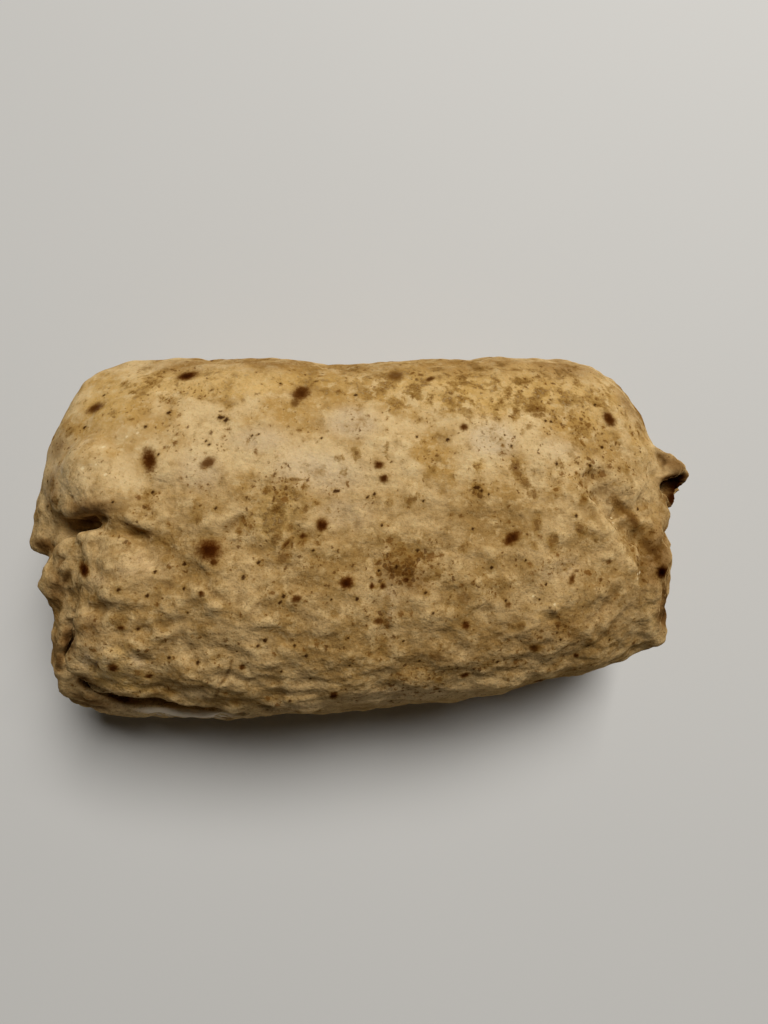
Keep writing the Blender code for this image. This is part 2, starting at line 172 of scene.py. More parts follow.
# Burnt specks: column, row, breadth.
SPECKS = (
    (86, 427, 0.9), (144, 427, 0.9), (170, 414, 1.0), (104, 394, 0.7), (220, 416, 0.9), (223, 417, 0.7),
    (227, 420, 1.2), (282, 384, 0.6), (207, 441, 0.6), (211, 443, 0.7), (252, 435, 0.6), (258, 434, 0.5),
    (323, 439, 0.6), (337, 490, 0.9), (340, 491, 0.6), (368, 498, 0.6), (375, 494, 0.8), (216, 508, 0.8),
    (154, 492, 0.8), (157, 453, 0.7), (356, 395, 1.0), (47, 507, 0.9), (48, 482, 0.7), (114, 501, 0.7),
    (80, 587, 0.7), (119, 589, 0.9), (148, 597, 0.9), (154, 570, 0.8), (184, 565, 0.9), (185, 588, 0.7),
    (244, 577, 1.1), (257, 561, 0.9), (282, 595, 0.9), (280, 602, 0.8), (313, 552, 0.7), (358, 599, 0.9),
    (348, 637, 0.7), (259, 645, 0.8), (264, 639, 0.9), (170, 659, 0.9), (197, 662, 0.9), (138, 629, 0.9),
    (187, 613, 0.5), (280, 672, 0.7), (289, 701, 0.9), (294, 647, 0.7), (307, 655, 1.0), (311, 678, 0.8),
    (381, 524, 0.7), (422, 502, 0.7), (474, 529, 0.9), (511, 446, 0.7), (506, 435, 0.5), (545, 420, 0.8),
    (551, 423, 0.8), (416, 437, 0.7), (448, 440, 1.0), (576, 514, 0.8), (558, 465, 0.9),
    (590, 466, 0.8), (637, 508, 0.9), (596, 405, 0.9), (603, 447, 1.0), (478, 488, 1.1), (483, 492, 0.8),
    (474, 486, 0.7), (488, 494, 0.7), (434, 613, 0.8), (491, 567, 0.9), (545, 585, 0.7), (506, 600, 0.8),
    (425, 592, 0.8), (588, 646, 0.9), (498, 661, 0.9), (456, 668, 0.8), (440, 692, 0.7), (390, 701, 0.8),
    (395, 568, 0.9), (379, 571, 0.7), (419, 551, 0.8), (330, 601, 0.5), (236, 652, 0.5), (540, 600, 0.6),
    (526, 560, 0.6), (560, 640, 0.7), (610, 640, 0.7), (405, 640, 0.6), (350, 665, 0.6), (420, 660, 0.6),
)

# Painted glints where the moist hood and the edges of folds catch the light, some on dry skin: column, row,
# breadth.
PAINTED_GLINTS = (
    (83, 468, 0.9), (104, 447, 0.8), (105, 476, 0.7), (97, 466, 0.5), (128, 436, 0.6), (137, 434, 0.7),
    (640, 571, 0.6), (639, 574, 0.7), (638, 578, 0.5), (553, 606, 0.6), (556, 604, 0.6), (534, 597, 0.6),
    (611, 519, 0.7), (613, 523, 0.6), (82, 533, 0.8), (87, 531, 0.7), (93, 532, 0.6),
)

# Toasted blotches with ragged edges: column, row, length, width, turn, brown. Up to 0.6 they are golden, and
# towards 1 they are brown.
BLOTCHES = (
    (464, 377, 3.6, 1.8, 8, 0.9),
    (454, 384, 2.6, 1.3, -15, 0.7),
    (482, 369, 3.0, 1.8, 0, 0.6),
    (488, 366, 3.0, 1.6, 0, 0.5),
    (524, 382, 4.4, 2.4, 10, 0.8),
    (518, 370, 3.8, 1.0, -8, 0.65),
    (538, 377, 2.8, 1.6, -20, 0.85),
    (531, 371, 3.2, 0.9, -20, 0.65),
    (509, 393, 2.6, 3.2, 0, 0.8),
    (500, 402, 2.0, 1.8, 0, 0.85),
    (491, 400, 1.5, 2.4, 0, 0.7),
    (472, 403, 1.7, 3.2, -15, 0.7),
    (515, 414, 3.0, 4.2, 0, 0.72),
    (534, 410, 3.4, 2.8, -5, 0.95),
    (541, 408, 3.0, 2.4, 10, 0.9),
    (537, 414, 4.4, 2.2, -5, 0.85),
    (537, 409, 1.6, 1.4, 0, 1.3),
    (553, 401, 2.6, 1.7, -20, 0.6),
    (579, 430, 6.4, 5.0, -30, 0.62),
    (572, 418, 2.8, 1.9, -15, 0.85),
    (597, 405, 2.2, 1.1, -15, 0.9),
    (576, 382, 2.3, 2.8, 0, 0.7),
    (610, 388, 2.0, 1.9, 0, 0.65),
    (614, 441, 2.4, 1.4, -20, 0.85),
    (419, 420, 1.7, 1.8, 0, 0.65),
    (412, 396, 3.8, 3.2, 0, 0.6),
    (409, 406, 2.4, 1.1, 5, 0.75),
    (430, 398, 3.3, 3.7, -20, 0.58),
    (453, 408, 1.7, 2.3, 0, 0.65),
    (434, 467, 5.2, 1.7, 60, 0.85),
    (454, 475, 1.7, 2.0, 0, 0.75),
    (479, 464, 2.7, 3.2, 0, 0.62),
    (515, 467, 2.8, 2.9, -40, 1.25),
    (519, 474, 3.0, 2.6, -50, 1.0),
    (526, 483, 3.8, 2.8, -60, 0.95),
    (532, 494, 3.3, 2.7, -30, 0.95),
    (561, 465, 1.3, 3.2, 20, 0.95),
    (590, 468, 2.1, 2.4, 0, 0.95),
    (406, 446, 2.6, 2.2, 0, 0.62),
    (428, 452, 2.6, 2.1, 0, 0.55),
    (387, 446, 1.5, 3.4, 0, 0.62),
    (357, 453, 2.2, 2.4, -30, 0.75),
    (338, 458, 2.6, 2.2, 20, 0.75),
    (345, 472, 1.4, 2.2, 20, 0.7),
    (411, 500, 3.2, 2.5, 30, 0.95),
    (417, 496, 1.8, 1.7, 0, 1.05),
    (390, 503, 1.7, 3.2, 0, 0.68),
    (294, 481, 4.6, 1.4, -5, 1.0),
    (268, 490, 2.4, 2.8, 0, 0.9),
    (276, 509, 2.2, 1.8, 0, 1.15),
    (306, 509, 2.2, 2.0, 0, 1.05),
    (305, 487, 2.0, 1.5, 0, 1.0),
    (317, 503, 1.8, 1.1, 0, 1.1),
    (290, 527, 3.0, 2.6, 0, 0.95),
    (276, 539, 4.0, 2.4, 30, 0.95),
    (239, 532, 2.2, 4.2, -10, 0.85),
    (251, 530, 2.6, 2.0, 20, 0.7),
    (283, 559, 5.2, 2.8, 30, 1.0),
    (288, 544, 3.6, 2.0, 50, 1.1),
    (303, 538, 2.2, 1.5, 0, 1.1),
    (389, 556, 3.2, 2.3, 0, 0.92),
    (401, 550, 3.2, 1.7, -10, 1.0),
    (408, 561, 3.4, 2.5, 30, 0.95),
    (398, 572, 2.8, 1.7, 10, 0.85),
    (409, 578, 2.4, 1.7, 0, 0.9),
    (437, 575, 2.6, 2.2, 0, 1.0),
    (427, 579, 2.3, 1.5, 0, 1.0),
    (373, 587, 1.9, 1.5, 0, 1.0),
    (382, 585, 1.9, 1.7, 0, 1.05),
    (426, 593, 2.8, 1.7, 0, 0.75),
    (376, 561, 2.6, 1.8, 0, 0.75),
    (417, 543, 2.4, 1.5, 0, 0.75),
    (402, 543, 1.8, 1.1, 0, 0.75),
    (386, 600, 2.2, 7.0, 3, 0.5),
    (384, 640, 2.2, 9.0, 0, 0.55),
    (334, 613, 3.6, 2.1, -15, 0.7),
    (352, 658, 2.6, 1.7, 30, 0.85),
    (439, 680, 2.6, 1.3, 0, 0.85),
    (236, 702, 2.8, 1.7, 0, 1.0),
    (464, 546, 2.2, 3.2, -35, 0.95),
    (479, 491, 4.4, 3.2, 0, 0.7),
    (583, 500, 2.4, 2.4, 0, 0.95),
    (537, 526, 1.9, 4.6, -12, 1.0),
    (534, 545, 1.8, 2.2, 0, 0.85),
    (553, 540, 2.4, 3.6, -20, 1.0),
    (580, 528, 2.9, 4.2, 10, 0.9),
    (618, 505, 7.0, 2.4, -50, 0.85),
    (634, 521, 5.0, 2.7, -55, 0.95),
    (646, 543, 4.2, 3.2, 30, 1.0),
    (652, 550, 4.2, 3.0, 10, 1.1),
    (657, 557, 2.6, 3.2, 0, 0.8),
    (502, 582, 3.6, 2.7, 0, 0.75),
    (511, 626, 2.6, 1.7, 0, 0.8),
    (522, 626, 2.8, 1.9, 0, 0.75),
    (569, 629, 3.2, 2.1, 10, 0.8),
    (538, 648, 3.1, 1.9, 0, 0.95),
    (589, 641, 2.2, 1.8, 0, 0.85),
    (486, 665, 3.4, 2.2, 0, 0.6),
    (150, 381, 4.0, 2.8, -30, 0.8),
    (125, 383, 2.4, 1.5, -10, 0.65),
    (133, 393, 2.2, 1.3, 0, 0.85),
    (112, 414, 2.2, 1.5, 0, 0.62),
    (131, 419, 1.8, 0.9, 0, 0.85),
    (70, 433, 2.8, 1.6, 40, 0.8),
    (147, 496, 2.6, 2.6, 0, 0.75),
    (195, 505, 1.7, 5.2, -10, 0.62),
    (198, 519, 2.6, 2.2, 0, 0.85),
    (165, 542, 4.6, 2.1, -20, 0.75),
    (135, 533, 5.0, 1.7, -12, 0.95),
    (56, 502, 1.5, 2.8, 0, 0.85),
    (96, 600, 5.2, 3.0, -20, 0.62),
    (118, 620, 6.0, 3.4, 0, 0.66),
    (84, 628, 3.2, 2.2, 0, 0.7),
    (131, 646, 2.2, 2.0, 0, 0.75),
    (138, 673, 2.6, 1.8, 0, 0.85),
    (171, 691, 5.6, 1.4, -10, 0.8),
    (101, 679, 3.6, 1.6, -12, 0.65),
    (196, 573, 2.4, 1.5, 0, 0.7),
    (167, 560, 3.6, 1.9, 10, 0.6),
    (640, 425, 2.6, 3.4, 10, 0.65),
    (628, 470, 2.4, 2.0, 0, 0.7),
    (645, 505, 2.2, 2.8, 20, 0.75),
)

# Patches where the mottle lies thick: column, row, length, width, turn, how thickly.
TOASTED_FIELDS = (
    (500, 395, 62, 15, -3, 1.15),
    (400, 388, 44, 14, 0, 1.0),
    (600, 440, 26, 30, 30, 0.5),
    (276, 513, 19, 13, 55, 1.3),
    (170, 388, 40, 12, 12, 0.6),
    (320, 385, 34, 10, 0, 0.8),
    (250, 392, 26, 10, 0, 0.75),
    (560, 500, 22, 26, 20, 0.55),
    (405, 565, 24, 12, -15, 0.6),
    (540, 560, 26, 14, 0, 0.55),
    (640, 600, 14, 22, 0, 0.5),
)

# Crowds of fine dark freckles: column, row, length, width, turn, how thickly they lie.
FRECKLED = (
    (405, 568, 20, 11, -12, 1.0),
    (288, 550, 9, 7, 30, 1.0),
    (290, 490, 13, 8, 0, 0.7),
    (478, 491, 6, 5, 0, 1.2),
    (580, 430, 13, 10, -30, 0.7),
    (585, 470, 16, 9, 0, 0.8),
    (500, 440, 16, 10, 0, 0.45),
    (440, 560, 12, 10, 0, 0.6),
    (525, 575, 24, 12, 0, 0.55),
    (330, 560, 16, 10, 0, 0.35),
    (180, 395, 12, 6, 0, 0.6),
    (215, 440, 10, 7, 0, 0.55),
    (150, 498, 8, 6, 0, 0.6),
    (520, 655, 30, 10, 10, 0.5),
    (430, 670, 22, 10, 5, 0.4),
    (320, 640, 26, 12, 0, 0.25),
    (180, 650, 26, 12, 0, 0.3),
    (385, 630, 5, 16, 0, 0.8),
    (640, 545, 10, 9, 0, 0.7),
    (240, 530, 8, 8, 0, 0.6),
)

# Ashen pale patches, and golden ones: column, row, length, width, turn, strength. The ashen ones along the
# near rim are painted light on dough in shade. Past 1 an ashen one is the smooth layer under the free edge,
# painted light.
ASHEN_AND_PAINTED_LIGHT = (
    (492, 440, 11, 8, 0, 1.0),
    (318, 470, 24, 12, -12, 0.8),
    (345, 515, 16, 9, 0, 0.7),
    (200, 470, 14, 12, 0, 0.6),
    (260, 440, 18, 8, 0, 0.6),
    (560, 450, 12, 7, 0, 0.5),
    (560, 570, 16, 8, 10, 0.5),
    (390, 600, 5, 14, 0, 0.5),
    (95, 580, 8, 6, 0, 0.5),
    (185, 713, 34, 3.2, -4, 1.8),
    (106, 657, 4.6, 5.0, 0, 0.95),
    (132, 661, 6.0, 3.4, -15, 0.98),
    (135, 565, 16, 9, 0, 0.55),
    (350, 422, 14, 8, 0, 0.8),
    (300, 707, 26, 3.0, 3, 0.6),
    (400, 696, 30, 5.0, 4, 0.75),
    (468, 693, 14, 3.0, 6, 0.5),
    (196, 694, 10, 3.0, -4, 0.6),
    (86, 660, 4, 6.0, 0, 0.6),
)
GOLDEN_PATCHES = (
    (112, 666, 8, 8, -15, 1.6),
    (125, 682, 13, 4.5, -12, 1.4),
    (275, 515, 15, 11, 55, 1.0),
    (270, 536, 8, 6, 30, 0.9),
    (490, 385, 56, 14, -2, 1.0),
    (600, 405, 22, 20, -30, 0.55),
    (640, 440, 12, 24, 20, 0.4),
    (220, 382, 50, 8, 2, 0.9),
    (110, 402, 16, 14, 30, 0.75),
    (340, 380, 34, 6, 0, 0.5),
    (560, 615, 34, 14, 12, 0.5),
    (655, 590, 8, 22, 0, 0.6),
    (655, 530, 8, 14, 0, 0.6),
    (479, 464, 4, 4, 0, 0.7),
)

# Moist, slightly glossy dough: column, row, length, width, turn, how moist.
MOIST = (
    (105, 462, 22, 20, 0, 0.7),
    (110, 662, 14, 6, -10, 0.3),
)

# Painted shade, deep in the folds, under the hood, in the ear's pocket and round the rim: column, row,
# length, width, turn, how dark.
PAINTED_SHADE_OVALS = (
    (91, 508, 13.0, 5.0, 5, 0.62),
    (91, 520, 5.4, 1.4, 0, 0.8),
    (52, 490, 4.0, 10.0, -8, 0.45),
    (45, 546, 6.6, 3.2, -22, 0.72),
    (57, 588, 6.0, 10.0, -6, 0.48),
    (66, 578, 2.0, 5.0, -20, 0.6),
    (68, 640, 3.2, 7.0, 0, 0.9),
    (84, 682, 4.0, 2.6, -30, 0.9),
    (55, 655, 6.0, 13.0, -10, 0.46),
    (122, 700, 10.0, 1.8, -12, 0.9),
    (676, 478, 7.0, 2.0, 8, 1.3),
    (678, 487, 7.0, 6.0, 0, 1.2),
    (673, 499, 3.6, 5.0, 20, 1.2),
    (674, 465, 9.0, 4.6, -35, 0.6),
    (664, 467, 1.6, 4.0, 0, 0.4),
    (664, 594, 1.4, 7.0, 0, 0.9),
    (662, 572, 2.5, 3.4, 0, 1.0),
    (60, 564, 3.0, 2.0, 40, 0.5),
    (565, 624, 48.0, 17.0, 12, 0.27),
    (625, 520, 16.0, 8.0, -50, 0.16),
    (630, 517, 21.0, 2.8, -52, 0.42),
    (92, 702, 14.0, 4.0, -14, 0.55),
    (408, 578, 16.0, 10.0, -15, 0.34),
    (450, 655, 22.0, 8.0, 5, 0.2),
    (460, 530, 40.0, 16.0, 0, 0.1),
    (185, 364, 24.0, 7.0, 0, 0.32),
    (270, 361, 30.0, 7.5, 0, 0.36),
    (370, 362, 40.0, 7.5, 0, 0.3),
    (470, 361, 40.0, 9.0, 0, 0.4),
    (560, 364, 26.0, 9.0, -8, 0.42),
    (632, 404, 15.0, 5.0, -56, 0.5),
    (660, 556, 9.0, 24.0, 0, 0.52),
    (654, 578, 5.0, 7.0, 0, 0.5),
    (664, 614, 3.6, 8.0, 0, 0.85),
    (58, 448, 8.5, 4.2, 68, 0.42),
    (88, 626, 8.0, 7.0, 0, 0.4),
    (59, 662, 2.4, 5.0, -10, 0.8),
)

# Where the folds run into each other: column, row, length, width, turn, how far they are evened out.
EVENED = (
    (115, 530, 5.0, 6.0, 0, 1.0),
    (140, 540, 10.0, 5.0, -15, 0.5),
    (176, 552, 14.0, 7.0, -20, 1.0),
    (140, 668, 18.0, 7.0, -12, 0.9),
    (200, 680, 14.0, 6.0, -12, 0.8),
    (79, 585, 3.0, 9.0, 0, 0.8),
    (112, 604, 15.0, 6.0, -5, 0.8),
    (668, 500, 4.0, 6.0, -20, 0.6),
    (636, 562, 10.0, 9.0, -60, 0.9),
    (300, 692, 30.0, 4.0, 0, 0.5),
)

# Creases: name, width, depth, then columns and rows of the line.
CREASES = (
    ("short fold beside the slot", 1.3, 0.8, ((121, 529), (130, 532), (140, 535), (150, 539))),
    ("under the hood", 1.5, 0.8, ((76, 530), (86, 523), (97, 521), (108, 524))),
    ("past the big spot", 1.3, 0.25, ((164, 547), (178, 552), (190, 545))),
    ("beside the big spot", 1.1, 0.4, ((219, 538), (227, 528), (240, 518), (258, 510))),
    ("right diagonal, upper", 2.6, 1.5, ((588, 470), (596, 488), (608, 504), (622, 517))),
    ("right diagonal, lower", 2.6, 1.4, ((614, 508), (630, 527), (645, 545), (656, 561))),
    ("right corner", 1.5, 0.7, ((620, 590), (607, 604), (594, 617), (578, 629))),
    ("right corner, upper", 1.2, 0.5, ((648, 556), (640, 572), (644, 588), (640, 606))),
    ("right end slit", 0.9, 0.8, ((664, 580), (666, 596), (664, 612), (661, 624))),
    (
        "crack in the edge",
        0.45,
        0.35,
        ((231, 659), (230, 670), (227, 677), (220, 684), (218, 692), (211, 703)),
    ),
    ("crack's branch", 0.45, 0.22, ((203, 678), (210, 680), (219, 686))),
    ("hook", 1.2, 0.45, ((153, 609), (158, 620), (166, 626), (175, 622), (186, 616))),
    ("upper mass over the lower", 0.9, 0.18, ((64, 610), (84, 609), (106, 608), (132, 610), (146, 606))),
    ("beside the spike", 0.8, 0.25, ((124, 616), (126, 626), (124, 634))),
    ("left of the blister patch", 0.6, 0.35, ((97, 656), (95, 668), (92, 678))),
    ("above the blister patch", 1.2, 0.1, ((78, 600), (90, 610), (104, 616), (118, 617), (132, 612))),
    ("ring's tail", 0.7, 0.35, ((206, 583), (211, 592), (219, 597), (230, 600))),
    ("low dimple row", 1.0, 0.4, ((140, 618), (146, 632), (140, 642))),
    ("front fold, left", 1.5, 0.5, ((262, 640), (276, 634), (292, 640), (310, 634))),
    ("front fold, middle", 1.3, 0.45, ((380, 600), (384, 622), (381, 644), (385, 662))),
    ("front fold, right", 1.5, 0.5, ((500, 672), (522, 664), (545, 658), (566, 648))),
    ("ear root", 0.9, 0.6, ((656, 446), (661, 456), (663, 465), (662, 474))),
    ("behind the lap's edge", 1.4, 1.0, ((71, 612), (71, 630), (73, 648), (70, 662))),
    ("inside the lip", 1.0, 0.25, ((58, 500), (64, 515), (74, 526))),
    ("edge wrinkle, upper", 0.9, 0.2, ((238, 679), (262, 683), (290, 684), (320, 681))),
    ("edge wrinkle, lower", 0.9, 0.2, ((248, 694), (275, 697), (305, 695), (335, 689))),
)

# Raised folds and blisters: column, row, length, width, turn, height.
PUFFS = (
    (201, 592, 5.2, 4.6, 0, 0.55),
    (209, 550, 8.0, 7.0, 0, 0.45),
    (296, 598, 6.0, 4.4, 20, 0.5),
    (113, 664, 7.0, 6.0, -20, 0.6),
    (216, 606, 5.0, 2.0, -12, 0.5),
    (150, 665, 9.0, 3.0, -8, 0.55),
    (250, 650, 6.0, 4.0, 0, 0.5),
    (555, 608, 3.0, 2.4, 0, 0.7),
    (540, 609, 3.6, 1.4, 10, 0.45),
    (532, 597, 3.4, 1.4, 30, 0.5),
    (638, 576, 2.2, 4.6, -10, 0.6),
    (590, 637, 4.6, 3.2, 20, 0.7),
    (632, 628, 4.4, 2.6, 10, 0.55),
    (552, 652, 8.0, 2.4, 25, 0.55),
    (480, 671, 3.6, 1.4, -20, 0.5),
    (466, 624, 4.6, 4.4, 0, 0.3),
    (347, 583, 5.2, 4.6, 0, 0.25),
    (602, 515, 11.0, 3.0, -52, 0.7),
    (436, 511, 4.4, 3.2, 20, 0.3),
    (88, 548, 10.0, 2.6, 75, 0.5),
    (100, 536, 6.0, 3.0, 15, 0.4),
    (169, 632, 6.5, 2.2, 18, 0.4),
    (131, 625, 1.8, 3.8, -5, 0.3),
    (141, 595, 3.0, 1.8, -40, 0.25),
    (130, 664, 5.6, 3.6, -25, 0.7),
    (106, 660, 4.4, 5.0, 0, 0.5),
    (77, 625, 2.0, 2.4, -45, 0.5),
    (110, 598, 7.0, 4.0, -10, 0.3),
    (170, 520, 14.0, 9.0, 10, 0.5),
    (360, 655, 9.0, 4.0, 10, 0.4),
    (420, 636, 8.0, 5.0, 0, 0.35),
    (92, 504, 13.0, 5.0, 4, 0.9),
    (91, 526, 6.4, 1.6, 2, 1.2),
    (118, 541, 7.0, 3.0, -10, 0.4),
    (674, 484, 5.0, 3.2, 5, -1.6),
    (674, 470, 6.0, 3.0, -35, 0.3),
    (64, 515, 4.0, 4.0, 0, 0.8),
)


# What is stored with each point: name, ovals, how strong it is elsewhere, and on the sides out of sight.
FIELDS = (
    ("blotch", BLOTCHES, 0.0, 0.0),
    ("toasted", TOASTED_FIELDS, 0.22, 0.5),
    ("freckled", FRECKLED, 0.0, 0.35),
    ("ashen_and_painted_light", ASHEN_AND_PAINTED_LIGHT, 0.0, 0.2),
    ("golden", GOLDEN_PATCHES, 0.0, 0.2),
    ("painted_shade", PAINTED_SHADE_OVALS, 0.0, 0.0),
    ("moist", MOIST, 0.0, 0.0),
)


def seen(points):
    """Columns and rows at which the camera sees these points, which are in millimetres."""
    offset = points - np.array(CAMERA_AT)
    depth = -offset @ np.array(CAMERA_BACK)
    across = offset @ np.array(CAMERA_RIGHT) / depth
    up = offset @ np.array(CAMERA_UP) / depth
    column = FRAME[0] / 2 + FOCAL_PIXELS * across
    row = FRAME[1] / 2 - FOCAL_PIXELS * up
    return np.stack([column, row], axis=1)


def faded(value, low, high):
    """0 up to low, 1 from high on, and a smooth step between them."""
    share = np.clip((value - low) / (high - low), 0, 1)
    return share * share * (3 - 2 * share)


def oval_distance(places, column, row, length, width, turn):
    """Distance from an oval's middle, where 1 is its outline."""
    across = (places[:, 0] - column) * PIXEL
    up = (row - places[:, 1]) * PIXEL
    angle = math.radians(turn)
    along = across * math.cos(angle) + up * math.sin(angle)
    aside = up * math.cos(angle) - across * math.sin(angle)
    return np.hypot(along / (length / 2), aside / (width / 2))


def line_distance(places, line):
    """Distance from a broken line in millimetres, its sign telling the side, and the share of it passed."""
    nearest = np.full(len(places), np.inf)
    signed = np.zeros(len(places))
    passed = np.zeros(len(places))
    steps = [math.dist(a, b) for a, b in zip(line, line[1:])]
    done = 0.0
    for start, end, step in zip(line, line[1:], steps):
        along = (np.array(end) - start) / step
        offset = places - start
        reach = np.clip(offset @ along, 0, step)
        away = offset - reach[:, None] * along
        distance = np.hypot(away[:, 0], away[:, 1])
        side = np.sign(along[0] * offset[:, 1] - along[1] * offset[:, 0])
        closer = distance < nearest
        nearest = np.where(closer, distance, nearest)
        signed = np.where(closer, distance * side, signed)
        passed = np.where(closer, (done + reach) / sum(steps), passed)
        done += step
    return signed * PIXEL, passed


def tapered(passed):
    """1 in the middle of a line, and down to 0 at both its ends."""
    return np.sqrt(np.clip(4 * passed * (1 - passed), 0, 1))


class Skin:
    """The wrap's surface while it is being sculpted: its points in millimetres, and where each is seen."""

    def __init__(self, mesh):
        self.mesh = mesh
        self.link()
        self.read()

    def link(self):
        """Notes which points are joined by an edge."""
        edges = np.empty(len(self.mesh.edges) * 2, np.int32)
        self.mesh.edges.foreach_get("vertices", edges)
        self.one, self.other = edges.reshape(-1, 2).T
        count = len(self.mesh.vertices)
        self.links = np.bincount(self.one, minlength=count) + np.bincount(self.other, minlength=count)

    def read(self):
        """Takes points and normals from the mesh again. shown is 1 where a point clearly faces the camera."""
        count = len(self.mesh.vertices)
        points = np.empty(count * 3, np.float32)
        self.mesh.vertices.foreach_get("co", points)
        normals = np.empty(count * 3, np.float32)
        self.mesh.vertex_normals.foreach_get("vector", normals)
        self.points = points.reshape(-1, 3).astype(float) / MM
        self.normals = normals.reshape(-1, 3).astype(float)
        self.places = seen(self.points)
        sight = np.array(CAMERA_AT) - self.points
        sight /= np.linalg.norm(sight, axis=1)[:, None]
        self.facing = (self.normals * sight).sum(axis=1)
        self.shown = faded(self.facing, *SHOWN_FACING)

    def write(self):
        """Gives the mesh its moved points, none of them below the floor."""
        self.points[:, 2] = np.maximum(self.points[:, 2], 0)
        self.mesh.vertices.foreach_set("co", (self.points * MM).astype(np.float32).ravel())
        self.mesh.update()
        self.read()

    def raise_by(self, height):
        """Moves each point out along its normal."""
        self.points += self.normals * height[:, None]
        self.write()

    def averaged(self, places):
        """For each point, the mean place of its neighbours."""
        total = np.empty_like(places)
        count = len(places)
        for axis in range(3):
            here = places[:, axis]
            total[:, axis] = np.bincount(self.one, here[self.other], count)
            total[:, axis] += np.bincount(self.other, here[self.one], count)
        return total / self.links[:, None]

    def relax(self, share, rounds):
        """Evens the surface out: a round moves a point halfway to its neighbours' mean, where share is 1."""
        for _ in range(rounds):
            self.points += 0.5 * share[:, None] * (self.averaged(self.points) - self.points)
        self.write()

    def hollows(self, rounds):
        """How deep each point lies below its surroundings, which are wider the more rounds there are."""
        spread = self.points.copy()
        for _ in range(rounds):
            spread = 0.5 * (spread + self.averaged(spread))
        return ((spread - self.points) * self.normals).sum(axis=1)

    def keep(self, name, values):
        """Stores one number with each point, for the material."""
        layer = self.mesh.attributes.new(name, "FLOAT", "POINT")
        layer.data.foreach_set("value", np.asarray(values, np.float32))


def apply_modifier(piece, modifier):
    bpy.context.view_layer.objects.active = piece
    bpy.ops.object.modifier_apply(modifier=modifier.name)


def fine_body(node):
    """A copy of the solid as one smooth, even mesh of small quads."""
    mesh = node.data.copy()
    mesh.name = "wrap_body"
    shape = bmesh.new()
    shape.from_mesh(mesh)
    bmesh.ops.remove_doubles(shape, verts=shape.verts, dist=MERGED_WITHIN * MM)
    shape.to_mesh(mesh)
    shape.free()
    piece = bpy.data.objects.new("wrap_body", mesh)
    bpy.context.scene.collection.objects.link(piece)
    rounding = piece.modifiers.new("rounding", "SUBSURF")
    rounding.levels = 1
    rounding.render_levels = 1
    apply_modifier(piece, rounding)
    weave = piece.modifiers.new("even quads", "REMESH")
    weave.mode = "VOXEL"
    weave.voxel_size = QUAD * MM
    apply_modifier(piece, weave)
    soften = piece.modifiers.new("soften", "SMOOTH")
    soften.iterations = SOFTEN_ROUNDS
    apply_modifier(piece, soften)
    piece.data.shade_smooth()
    return piece


def sampled(points, size, shift, sample):
    """This noise at each point, in lumps as large as size, three lengths in millimetres."""
    stretched = points / np.array(size) + shift
    return np.array([sample(Vector(place)) for place in stretched])


def soft_lumps(points, size, octaves, shift):
    """Soft lumps and dips, about 0."""

    def sample(place):
        return noise.fractal(place, OCTAVE_FALL, OCTAVE_FINER, octaves)

    return sampled(points, size, shift, sample)


def ridges(points, size, octaves, shift):
    """Sharp ridges between soft hollows, about 0."""

    def sample(place):
        return noise.ridged_multi_fractal(place, OCTAVE_FALL, OCTAVE_FINER, octaves, RIDGE_OFFSET, RIDGE_GAIN)

    found = sampled(points, size, shift, sample)
    return found - found.mean()


def billows(points, size, octaves, shift):
    """Round bumps with sharp creases between them, about 0."""

    def sample(place):
        return noise.turbulence(place, octaves, True)

    found = sampled(points, size, shift, sample)
    return found - found.mean()


def thickest(skin, ovals, background, unseen):
    """The strongest of these ovals at each point, faded out from the middle of each."""
    amount = np.full(len(skin.points), background)
    for column, row, length, width, turn, strength in ovals:
        distance = oval_distance(skin.places, column, row, length, width, turn)
        amount = np.maximum(amount, strength * np.exp(-(distance ** 2)))
    return amount * skin.shown + unseen * (1 - skin.shown)


def crinkling(skin):
    """How crinkled the dough is: most along the front, least on the hood."""
    x, y, _ = skin.points.T

    # Each part fades in over so many millimetres, counted from the middle.
    front = faded(-y, -14, 16)
    right = faded(x, 38, 66) * faded(-y, -34, -5)
    hood = faded(-x, 40, 54) * faded(y, -3, 5)
    back = faded(y, 24, 42)
    amount = 0.30 + 0.70 * front + 0.35 * right - 0.12 * hood + 0.15 * back
    return np.clip(amount, 0.14, 1)


def wandering(skin):
    """Where each point is seen, shifted so that a straight line there comes out wavering."""
    shift = [soft_lumps(skin.points, WAVER_SIZE, 3, start) for start in (31.3, 57.9)]
    return skin.places + np.stack(shift, axis=1) * WAVER_REACH / PIXEL


def gather_ear(skin):
    """Draws the ear's tip in towards its root, and its lower corner further."""
    column, row = skin.places.T
    share = faded(column, *EAR_COLUMNS) * (1 - faded(row, *EAR_FOOT_ROWS))
    lower = faded(row, *EAR_CORNER_ROWS)
    inwards = EAR_ROOT_X - skin.points[:, 0]
    drawn = (EAR_DRAWN_IN + EAR_CORNER_DRAWN_IN * lower) * share
    skin.points[:, 0] += np.where(inwards < 0, inwards * drawn, 0)
    skin.write()


def draw_out_corner(skin):
    """Draws the near right corner out to a blunt point."""
    away = (skin.places - CORNER_AT) / CORNER_BREADTH
    nearness = np.exp(-(away ** 2).sum(axis=1))
    skin.points += nearness[:, None] * np.array(CORNER_DRAWN_OUT)
    skin.write()


def even_out(skin):
    """Smooths the places where one fold runs into the next."""
    skin.relax(thickest(skin, EVENED, 0.0, 0.0), EVENING_ROUNDS)


